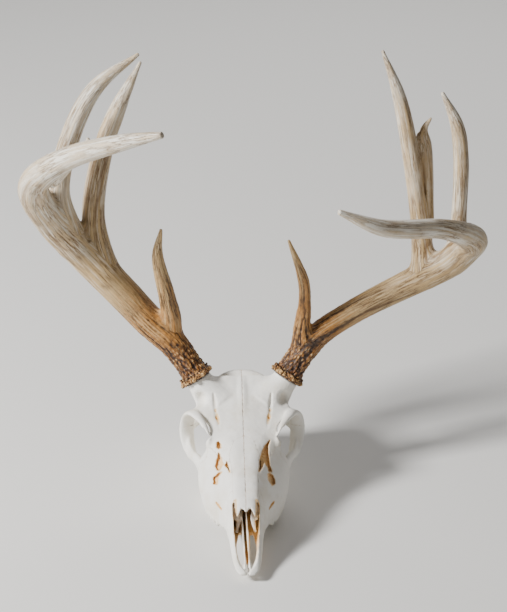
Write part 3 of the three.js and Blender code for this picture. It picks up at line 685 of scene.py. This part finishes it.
def raise_by(points, height, solid, *grid):
    """Points moved out by a height along the slope of the uncut solid, so that two neighbours
    move together at their seam. Points deeper than a millimetre stay."""
    slope = slope_of(solid, points, *grid)
    slope /= np.maximum(np.linalg.norm(slope, axis=1, keepdims=True), 1e-6)
    share = np.clip(1.6 + sample(solid, points, *grid), 0, 1)
    return points + slope * (height * share)[:, None]


def crowding(values, reach):
    """Share of solid within a box of that reach round each grid point, by running sums."""
    share = (values < 0).astype(np.float32)
    size = 2 * reach + 1
    for axis in range(3):
        margin = [(reach + 1, reach) if k == axis else (0, 0) for k in range(3)]
        total = np.cumsum(np.pad(share, margin, mode="edge"), axis)
        start = np.arange(share.shape[axis])
        share = (total.take(start + size, axis) - total.take(start, axis)) / size
    return share


def linear(code):
    """A linear colour from an sRGB hex code: below 0.04 a straight line, above it the 2.4 power."""
    srgb = np.array([int(code[k : k + 2], 16) / 255 for k in (1, 3, 5)])
    return (*np.where(srgb <= 0.04045, srgb / 12.92, ((srgb + 0.055) / 1.055) ** 2.4), 1.0)


# The kinds of node in use, each with its settings, the inputs in the order they are given, and
# the output that is taken.
NODES = {
    "Attribute": ({}, (), "Fac"),
    "BsdfPrincipled": ({}, ("Base Color", "Roughness", "Normal"), 0),
    "Bump": ({}, ("Strength", "Distance", "Height"), 0),
    "MapRange": ({"interpolation_type": "SMOOTHSTEP"}, range(5), 0),
    "Math": ({"operation": "MULTIPLY"}, (0, 1), 0),
    "Mix": ({"data_type": "RGBA"}, (0, 6, 7), 2),
    "OutputMaterial": ({}, ("Surface",), None),
    "TexCoord": ({}, (), "Object"),
    "TexNoise": ({}, ("Vector", "Scale", "Detail", "Roughness"), "Fac"),
    "TexVoronoi": ({}, ("Vector", "Scale", "Randomness"), "Distance"),
    "VectorMath": ({"operation": "MULTIPLY"}, (0, 1), 0),
}


def add_node(tree, kind, *values, output=None, **settings):
    """A node with its settings and inputs, of which its output is given back. A socket is linked,
    a hex code becomes a colour, and any other value is the input's own."""
    usual, inputs, main = NODES[kind]
    node = tree.nodes.new(f"ShaderNode{kind}")
    for key, value in {**usual, **settings}.items():
        setattr(node, key, value)
    for place, value in zip(inputs, values):
        if isinstance(value, bpy.types.NodeSocket):
            tree.links.new(value, node.inputs[place])
        else:
            node.inputs[place].default_value = linear(value) if isinstance(value, str) else value
    return node.outputs[output or main] if node.outputs else node


# Bleached bone: chalky near-white that goes ivory in broad clouds, tan along the sutures and ochre inside the
# nose, with painted shade in tan where bone crowds round a recess. What gives the eye: the stained hollows,
# the shaded recesses, and fine pores in low relief.
# Scales are in cells per metre: clouds 30 mm wide, a speckle of 2.4 mm, and pores of 1.4 mm,
# which is coarser than real ones, so that they show.
bone = bpy.data.materials.new("bleached_bone")
bone.use_nodes = True
bone.node_tree.nodes.clear()
add = functools.partial(add_node, bone.node_tree)
place = add("TexCoord")
clouds = add("TexNoise", place, 34.0, 4.0, 0.6)
speckle = add("TexNoise", place, 420.0, 3.0, 0.6)
colour = add("Mix", add("MapRange", clouds, 0.42, 0.72), "#f7f4ec", "#ebe4d5")
# Painted shade: tan laid where much bone lies round a point, in creases and recesses, broken up by the
# clouds.
recess_shade = add("MapRange", add("Attribute", attribute_name="crowd"), 0.52, 0.8)
recess_shade = add("Math", recess_shade, add("MapRange", clouds, 0.3, 0.6, 0.5, 1.0))
colour = add("Mix", add("Math", recess_shade, 0.55), colour, "#c9b08a")
inner = add("Math", add("Attribute", attribute_name="inner"), add("MapRange", clouds, 0.25, 0.6, 0.75, 1.0))
ochre = add("Mix", add("MapRange", speckle, 0.35, 0.7), "#f2cf98", "#dcae68")
colour = add("Mix", inner, colour, ochre)
seam = add("MapRange", add("Attribute", attribute_name="seam"), 0.15, 0.75, 1.0, 0.0)
seam = add("Math", seam, add("MapRange", speckle, 0.3, 0.6, 0.1, 0.6))
seam = add("Math", seam, add("MapRange", add("Attribute", attribute_name="middle"), 0.0, 1.0, 0.35, 1.4))
colour = add("Mix", seam, colour, "#b48a58")
pores = add("TexVoronoi", place, 700.0)
relief = add("Math", speckle, add("MapRange", pores, 0.0, 0.35, 0.6, 1.0))
bump = add("Bump", 0.35, 0.0004, relief)
add("OutputMaterial", add("BsdfPrincipled", colour, 0.62, bump))

# How much bone lies round each grid point, which sets where the painted shade of the recesses goes.
crowd = crowding(cranium, 5)
everywhere = np.full(cranium.shape, -50, np.float32)
steps = []
for side_name, side in (("left", 1), ("right", -1)):
    steps.append((f"nasal_{side_name}", nasal_region(side)))
    steps.append((f"premaxilla_{side_name}", side_region("premaxilla", side)))
    steps.append((f"frontal_{side_name}", side_region("frontal", side)))
    steps.append((f"cheek_{side_name}", side_region("cheek", side, 34.0)))
    tooth_bone = side_region("tooth_bone", side, 17.0)
    steps.append((f"maxilla_{side_name}", np.minimum(side_region("maxilla", side), tooth_bone)))
steps.append(("occipital", np.broadcast_to(flat["occipital"][None] + wander, cranium.shape)))
steps.append(("braincase", everywhere))
# Each bone gets what lies in its region and isn't taken yet, and the braincase gets the rest.
taken = everywhere
for name, region in steps:
    limits = np.maximum(taken, region + GAP / 2)
    points, quads = surface_of(np.maximum(cranium, limits), LOW, VOXEL)
    taken = np.maximum(taken, GAP / 2 - region)
    quads = outwards(points, quads)
    x, y, z = points.T
    # The ripple dies away below z = 4 mm, so the teeth keep their level.
    ripple = (0.3 * noise(points, 9, 3) + 0.12 * noise(points, 3.5, 4)) * np.clip(z / 4, 0, 1)
    # Ochre lies on the walls of the hollows, less towards the tip, and between the two blades.
    inner = np.clip(1.5 - 1.6 * np.abs(sample(hollow, points)), 0, 1) * np.clip((y - 14) / 40, 0.05, 1)
    trough = np.abs(x + np.clip(y - 20, 0, 60) * 0.027) < 1.5
    trough &= (y > 16) & (y < 110) & (z < 36) & (z > 11.4)
    marks = {
        "seam": np.clip(-sample(limits, points), 0, 4),
        "inner": np.where(trough, 1.0, inner),
        "crowd": sample(crowd, points),
        "middle": np.clip(1.5 - np.abs(x) / 2, 0, 1) * (z > 40),
    }
    points = crisp(points, cranium, limits)
    points = raise_by(points, ripple, cranium)
    piece = make_piece(f"bone_{name}", points, quads, marks, bone, [name])

# ---------------------------------------------------------------- antlers
# Bone that grew from the stalks each year and hardened: a main beam that sweeps out and forward,
# with three tines on each. Each side is one form, furrowed lengthwise and pearled near the burr,
# parted above its brow tine. A station is x, y, z and radius: the beam, its tines, then ridges.
ANTLERS = {
    "right": [
        [
            [-47, 218, 114.5, 14.5], [-54, 222, 125, 13.5], [-70, 229, 146, 14.5], [-97, 237, 171, 16.3],
            [-119, 242, 195, 17], [-142, 243, 221, 17.4], [-168, 238, 253, 17.3], [-191, 223, 287, 16.5],
            [-205, 178, 343, 15.1], [-171, 124, 391, 11.3], [-115, 76, 426, 8], [-78, 52, 442, 3.2],
        ],
        [
            [-78, 233, 151, 9], [-72, 232, 168, 10], [-77, 229, 201, 8.7], [-86, 222, 250, 5.8],
            [-82, 216, 281, 1.5],
        ],
        [
            [-138, 242, 216, 12], [-143, 244, 236, 13], [-151, 249, 283, 11.7], [-140, 261, 349, 10.1],
            [-126, 270, 386, 8.6], [-101, 283, 435, 1.6],
        ],
        [
            [-170, 236, 254, 12], [-176, 231, 278, 12.6], [-183, 225, 320, 10.5], [-171, 232, 373, 9.9],
            [-145, 240, 422, 7.9], [-102, 246, 455, 1.8],
        ],
        [[-168, 142, 379, 5], [-177, 156, 362, 4.4], [-182, 161, 353, 3], [-186, 164, 347, 1]],
    ],
    "left": [
        [
            [47, 218, 114.5, 14.5], [54, 221, 126, 13.5], [79, 231, 155, 13], [117, 240, 178, 12.7],
            [165, 240, 205, 13.9], [193, 232, 224, 14.9], [213, 216, 245, 15.7], [224, 196, 268, 15.5],
            [226, 172, 286, 14.3], [187, 108, 325, 10], [124, 62, 346, 8], [82, 48, 368, 2.6],
        ],
        [
            [66, 227, 138, 9], [62, 226, 155, 9.4], [64, 223, 199, 6.4], [62, 220, 222, 5.9],
            [46, 212, 270, 1.4],
        ],
        [
            [184.5, 235, 216, 10.5], [186, 235, 230, 12.4], [182, 240, 268, 9.7], [173, 251, 330, 8.9],
            [158, 264, 402, 7], [140, 273, 449, 1.5],
        ],
        [
            [212, 217, 243, 10], [217, 212, 256, 10.6], [217, 214, 294, 7.8], [217, 221, 354, 7.6],
            [212, 225, 386, 6.9], [196, 229, 420, 1.7],
        ],
        [
            [189, 241, 246, 3.5], [191, 246, 271, 5.1], [190, 252, 296, 5.6], [189, 258, 327, 5.6],
            [187, 262, 352, 5.6], [184, 264, 368, 4], [191, 262, 382, 1],
        ],
        [
            [185, 246, 283, 3.5], [183, 252, 308, 5], [181, 258, 334, 5], [179, 262, 352, 4.5],
            [180, 264, 364, 2.5],
        ],
    ],
}
# Furrows between a tine and the ridge beside it.
CREASES = {
    "right": [[-154, 243, 338, 1.6], [-153, 238, 313, 2.6], [-154, 234, 288, 2.6], [-156, 231, 262, 1.6]],
    "left": [[184, 240, 262, 1.2], [184, 245, 296, 2.4], [182, 250, 330, 2.6], [178, 254, 356, 1.6]],
}
KNOBS = {
    "right": [[-188, 151, 385, 2.3], [-147.5, 106.5, 418, 2.2]],
    "left": [[219, 150, 312, 1.6]],
}
BEAM_UP = (0.2, 1, 0.3)
TINE_GROWTH = 0.8  # a tine counts less than its length as growth, so its tip stays a little darker
FURROW_RUN, PEARL_RUN = 0.05, 0.62  # how fast the patterns change along the growth, of that across
DARKER = {"left": 0.08, "right": 0.03}


def follow(lines, points, batch=20000):
    """For each point the nearest place on the antler's lines, nearest by distance less radius:
    its centre, direction, radius, distance grown from the burr, and distance left to the tip.
    The points are taken in batches, which keeps the table of distances small."""
    beam = spline(lines[0], 40)
    rows = []
    for line in lines:
        path = spline(line, 40)
        length = np.cumsum(np.linalg.norm(np.diff(path[:, :3], axis=0, prepend=path[:1, :3]), axis=1))
        root = np.argmin(np.linalg.norm(beam[:, :3] - path[0, :3], axis=1))
        start = np.linalg.norm(np.diff(beam[: root + 1, :3], axis=0), axis=1).sum()
        grown = start + (TINE_GROWTH if rows else 1) * length
        along = unit(np.gradient(path[:, :3], axis=0))
        rows.append(np.column_stack([path, along, grown, length[-1] - length]))
    rows = np.concatenate(rows)
    nearest = np.empty(len(points), int)
    for start in range(0, len(points), batch):
        part = points[start : start + batch, None].astype(np.float32)
        away = np.linalg.norm(part - rows[None, :, :3].astype(np.float32), axis=-1)
        nearest[start : start + batch] = np.argmin(away - rows[:, 3].astype(np.float32), axis=1)
    found = rows[nearest]
    return found[:, :3], found[:, 4:7], found[:, 3], found[:, 7], found[:, 8]


def pearls(points, size, seed):
    """Distance in cells to the nearest of the random points, one to each cell of a lattice."""
    place = points / size
    cell = np.floor(place).astype(np.int64)
    nearest = np.full(len(points), 9.0)
    for shift in itertools.product((-1, 0, 1), repeat=3):
        spot = cell + shift + 0.5
        for axis in range(3):
            spot[:, axis] += 0.7 * (hashed(cell + shift, seed + axis * 31) / 65535 - 0.5)
        nearest = np.minimum(nearest, np.linalg.norm(place - spot, axis=1))
    return nearest


def furrows(run, size, seed):
    """Long narrow valleys where noise stretched along the growth crosses zero: 0 to -1."""
    return -np.clip(1 - np.abs(noise(run, size, seed)) / 0.22, 0, 1)


# Antler: pale and worn smooth on the tines and the outer beam, dark brown in the furrows, and
# rich brown near the burr. What gives the eye: long dark furrows on cream, and worn pearls.
# Across the growth, streaks are 2.4 mm apart, hair lines 0.9 mm and beads 2.5 mm. The clouds
# that break them up are 33 and 50 mm wide.
antler = bpy.data.materials.new("antler")
antler.use_nodes = True
antler.node_tree.nodes.clear()
add = functools.partial(add_node, antler.node_tree)
place = add("TexCoord")
run = add("Attribute", attribute_name="grain", output="Vector")
plain_age = add("Attribute", attribute_name="age")
relief = add("Attribute", attribute_name="relief")
broad = add("TexNoise", place, 30.0, 3.0, 0.5)
beads = add("TexVoronoi", add("VectorMath", run, (1, 1, 8)), 0.4, 0.9)
streaks = add("TexNoise", run, 0.42, 5.0, 0.6)
fine = add("TexNoise", run, 1.1, 4.0, 0.65)
clouds = add("TexNoise", place, 20.0, 3.0, 0.6)


def off_middle(value):
    """How far a noise is from its middle value, above or below it."""
    return add("Math", value, -0.5, operation="ADD")


def lines_in(value, half):
    """Thin lines where a noise passes its middle value."""
    return add("MapRange", add("Math", off_middle(value), operation="ABSOLUTE"), half, 0.0)


age = add("Math", plain_age, add("Math", off_middle(clouds), 0.5), operation="ADD")
age = add("Math", age, add("Math", off_middle(streaks), 0.9), operation="ADD")
colour = add("Mix", add("MapRange", age, -0.1, 0.42), "#e8e3d6", "#c5a777")
colour = add("Mix", add("MapRange", age, 0.4, 0.85), colour, "#b27b3a")
colour = add("Mix", add("MapRange", age, 0.8, 1.2), colour, "#7d4b1e")
dark = add("Mix", add("MapRange", age, 0.0, 0.9), "#7a5830", "#28140a")
pits = add("Math", add("MapRange", relief, -0.05, -0.75), add("MapRange", age, -0.35, 0.35, 0.35, 0.95))
colour = add("Mix", pits, colour, dark)
thin = add("Math", lines_in(streaks, 0.05), add("MapRange", broad, 0.38, 0.58, 0.2, 0.95))
thin = add("Math", thin, add("MapRange", age, -0.4, 0.3, 0.45, 1.0))
colour = add("Mix", thin, colour, dark)
hair = add("Math", lines_in(fine, 0.03), add("MapRange", clouds, 0.35, 0.65, 0.1, 0.6))
colour = add("Mix", hair, colour, dark)
crest_share = add("Math", add("MapRange", relief, 0.35, 1.1), add("MapRange", age, 0.3, 0.9, 0.0, 0.85))
colour = add("Mix", crest_share, colour, "#e6b877")
beaded = add("MapRange", plain_age, 0.74, 0.98)
between = add("Math", add("Math", add("MapRange", beads, 0.42, 0.68), beaded), 0.8)
on_beads = add("Math", add("Math", add("MapRange", beads, 0.3, 0.08), beaded), 0.75)
colour = add("Mix", on_beads, add("Mix", between, colour, "#2b1608"), "#ecca94")
height = add("Math", streaks, add("Math", fine, 0.6), operation="ADD")
for part in (add("Math", thin, -0.5), add("Math", add("Math", beads, -1.2), beaded)):
    height = add("Math", height, part, operation="ADD")
bump = add("Bump", 0.7, 0.0008, height)
add("OutputMaterial", add("BsdfPrincipled", colour, add("MapRange", fine, 0.3, 0.7, 0.42, 0.58), bump))


def antler_form(side_name, lines, low, shape, voxel):
    """Distance to the whole antler: the tines melt into the beam, ridges and knobs are added, and
    the creases are cut."""
    body = depth(tube(lines[0], BEAM_UP, 10, 28), low, shape, voxel, 9)
    for line in lines[1:4]:
        body = melt(body, depth(tube(line, (0, 1, 0), 10, 24), low, shape, voxel, 9), 9)
    for line in lines[4:]:
        body = melt(body, depth(tube(line, (0, 1, 0), 10, 18), low, shape, voxel), 4)
    for x, y, z, radius in KNOBS[side_name]:
        body = melt(body, depth(ovoid([x, y, z], [radius] * 3, 12), low, shape, voxel), 1.5)
    return carve(body, depth(tube(CREASES[side_name], (0, 1, 0), 8, 12), low, shape, voxel), 2.5)


def antler_skin(lines, points, body, *grid):
    """Points raised off the body by furrows, low ridges and pearls, and the marks for the
    finish. Around the beam the pattern is laid on a circle of its radius, and along the growth
    it is stretched."""
    centre, along, radius, grown, left = follow(lines, points)
    across = unit(np.cross(BEAM_UP, along))
    spoke = points - centre
    turn = np.arctan2((spoke * np.cross(along, across)).sum(1), (spoke * across).sum(1))
    ring = [radius * np.cos(turn), radius * np.sin(turn)]
    run = np.stack([*ring, FURROW_RUN * grown], -1)
    # Pearls fade out from 14 mm above the burr, and furrows more slowly.
    near = np.exp(-np.maximum(grown - 14, 0) / 40)
    strength = 0.3 + 0.7 * np.exp(-grown / 200)
    relief = 0.45 * noise(run, 5.5, 11) + 0.7 * furrows(run, 5.2, 12) + 0.4 * furrows(run, 2.9, 13)
    relief = relief * strength * np.clip(left / 30, 0.1, 1)
    bumps = np.stack([*ring, PEARL_RUN * grown], -1) + 0.8 * noise(points, 5, 3)[:, None]
    grains = 1.1 - 1.9 * pearls(bumps, 3.1, 5)
    relief = relief + near * np.clip(1.5 * grains, -0.8, 1.1)
    marks = {"grain": run, "relief": relief}
    return raise_by(points, relief * np.clip(left / 8, 0, 1), body, *grid), grown, marks


FOOT_PARTS = ("beam_base", "brow_tine")
REACH_PARTS = ("beam_lower", "beam_upper", "beam_tip", "second_tine", "third_tine")
FOOT_GAP = 0.02
margin = 20
for side_name, lines in ANTLERS.items():
    # The foot of the beam with the brow tine is one piece, and the rest of the antler another.
    # Wide tubes round the first four stations of the beam and round the tine part the two.
    *_, before, tip = np.array(lines[1])[:, :3]
    foot = [
        [[*place, 24] for *place, _ in lines[0][:4]],
        [[*place, radius + 7] for *place, radius in lines[1][1:]] + [[*(2 * tip - before), 9]],
    ]
    for part_name, part_lines, voxel in (("foot", foot, 0.75), ("reach", lines, 1.12)):
        stations = np.array([station for line in part_lines for station in line], float)
        low = np.floor((stations[:, :3].min(0) - margin) / voxel) * voxel
        shape = tuple(np.ceil((stations[:, :3].max(0) + margin - low) / voxel).astype(int))
        body = antler_form(side_name, lines, low, shape, voxel)
        zone = [depth(tube(line, BEAM_UP, 10, 24), low, shape, voxel) for line in foot]
        zone = np.minimum(*zone)
        limits = zone if part_name == "foot" else FOOT_GAP - zone
        points, quads = surface_of(np.maximum(body, limits), low, voxel)
        quads = outwards(points, quads)
        points = crisp(points, body, limits, low, voxel)
        points, grown, marks = antler_skin(lines, points, body, low, voxel)
        marks["age"] = 1.12 * np.exp(-grown / 130) + DARKER[side_name]
        replaced = FOOT_PARTS if part_name == "foot" else REACH_PARTS
        replaced = [f"antler_{side_name}_{part}" for part in replaced]
        piece = make_piece(f"antler_{side_name}_{part_name}", points, quads, marks, antler, replaced)

# ---------------------------------------------------------------- burrs
# The crown of bony beads where each antler joins its stalk, of the same bone and grown with it:
# dark in the clefts, worn pale and shiny on the beads. Rows of random beads melt into a ring.
BURR_VOXEL, BURR_CELLS = 0.55, 96
# The rows of beads: how many, how far out, how high along the axis, and their mean radius.
BEAD_ROWS = [[31, 16.9, -0.3, 1.7], [34, 16.2, 2.2, 1.35], [30, 15.6, 4.6, 1.1], [24, 15.8, -2.0, 1.2]]
rng = np.random.default_rng(4)
for side_name, side in (("left", 1), ("right", -1)):
    mirror = np.array([side, 1, 1])
    foot, axis = BURR * mirror, ANTLER_AXIS * mirror
    across = unit(np.cross([0, 1, 0], axis))
    up = np.cross(axis, across)
    low = np.floor((foot - 26) / BURR_VOXEL) * BURR_VOXEL
    cells = BURR_VOXEL * np.arange(BURR_CELLS)
    places = np.stack(np.meshgrid(*(start + cells for start in low), indexing="ij"), -1)
    level = (places - foot) @ axis
    away = np.linalg.norm(places - foot - level[..., None] * axis, axis=-1)
    ring = np.hypot(away - 14.4, (level - 0.4) * 0.8) - 2.6
    plug = np.maximum(np.maximum(away - 14.2, level - 3), -3 - level)
    burr = melt(ring, plug, 2)
    for count, out, lift, size in BEAD_ROWS:
        for k in range(count):
            angle = 2 * np.pi * (k + rng.uniform(-0.3, 0.3)) / count
            reach = out + rng.uniform(-1.1, 1.5)
            bead = foot + reach * (np.cos(angle) * across + np.sin(angle) * up)
            bead = bead + axis * (lift + rng.uniform(-0.8, 0.8))
            ball = np.linalg.norm(places - bead, axis=-1) - size * rng.uniform(0.5, 1.3)
            burr = melt(burr, ball, 0.8)
    burr = np.maximum(burr, -2.95 - level)
    points, quads = surface_of(burr.astype(np.float32), low, BURR_VOXEL)
    quads = outwards(points, quads)
    spoke = points - foot
    turn = np.arctan2(spoke @ up, spoke @ across)
    reach = np.linalg.norm(spoke - (spoke @ axis)[:, None] * axis, axis=1)
    marks = {
        "grain": np.stack([reach * np.cos(turn), reach * np.sin(turn), 0.3 * (spoke @ axis)], -1),
        "relief": (reach - 16.9) * 0.7,
        "age": np.full(len(points), 0.98),
    }
    piece = make_piece(f"burr_{side_name}", points, quads, marks, antler, [f"antler_{side_name}_burr"])

# ---------------------------------------------------------------- floor, light and camera
# A plain pale floor under soft studio light: a key lamp from the left, a weak fill from the
# right and one behind. The camera looks down by 25 degrees from in front.
floor_material = bpy.data.materials.new("plain_floor")
floor_material.use_nodes = True
floor_shader = floor_material.node_tree.nodes["Principled BSDF"]
floor_shader.inputs["Base Color"].default_value = linear("#e6e4e0")
floor_shader.inputs["Roughness"].default_value = 0.8
floor = bpy.data.meshes.new("floor")
floor.from_pydata([(-9, -6, 0), (9, -6, 0), (9, 14, 0), (-9, 14, 0)], [], [(0, 1, 2, 3)])
floor.materials.append(floor_material)
floor = bpy.data.objects.new("floor", floor)
bpy.context.scene.collection.objects.link(floor)

world = bpy.data.worlds.new("studio")
world.use_nodes = True
world.node_tree.nodes["Background"].inputs["Color"].default_value = linear("#f2f3f5")
world.node_tree.nodes["Background"].inputs["Strength"].default_value = 0.16
bpy.context.scene.world = world


def area_light(name, place, aim, size, power):
    """A square light whose -Z points at a place, turned about x and then about z."""
    lamp = bpy.data.lights.new(name, "AREA")
    lamp.size = size
    lamp.energy = power
    holder = bpy.data.objects.new(name, lamp)
    holder.location = place
    x, y, z = unit(np.array(aim) - np.array(place))
    holder.rotation_euler = (np.arccos(-z), 0.0, np.arctan2(-x, y))
    bpy.context.scene.collection.objects.link(holder)


area_light("key", (-2.1, -0.7, 1.6), (0, 0, 0.15), 0.5, 148)
area_light("fill", (1.8, -1.6, 0.9), (0, 0, 0.15), 1.6, 3)
area_light("back", (0.5, 1.9, 1.5), (0, 0, 0.2), 1.2, 16)

# The camera's axes: to the right, up and forward, after a turn, a tilt and a slight roll.
TILT, TURN, ROLL = np.radians([25, 2.1648758, -0.4776805])
right = np.array([np.cos(TURN), -np.sin(TURN), 0])
up = np.array([np.sin(TILT) * np.sin(TURN), np.sin(TILT) * np.cos(TURN), np.cos(TILT)])
forward = np.array([np.cos(TILT) * np.sin(TURN), np.cos(TILT) * np.cos(TURN), -np.sin(TILT)])
turned_right = right * np.cos(ROLL) - up * np.sin(ROLL)
turned_up = right * np.sin(ROLL) + up * np.cos(ROLL)
matrix = np.eye(4)
matrix[:3, 0], matrix[:3, 1], matrix[:3, 2] = turned_right, turned_up, -forward
matrix[:3, 3] = (-0.0705, -1.8405, 1.0886)
lens = bpy.data.cameras.new("camera")
lens.sensor_fit = "AUTO"
lens.sensor_width = 36
lens.lens = 121.73
camera = bpy.data.objects.new("camera", lens)
bpy.context.scene.collection.objects.link(camera)
camera.matrix_world = Matrix(matrix.tolist())
bpy.context.scene.camera = camera
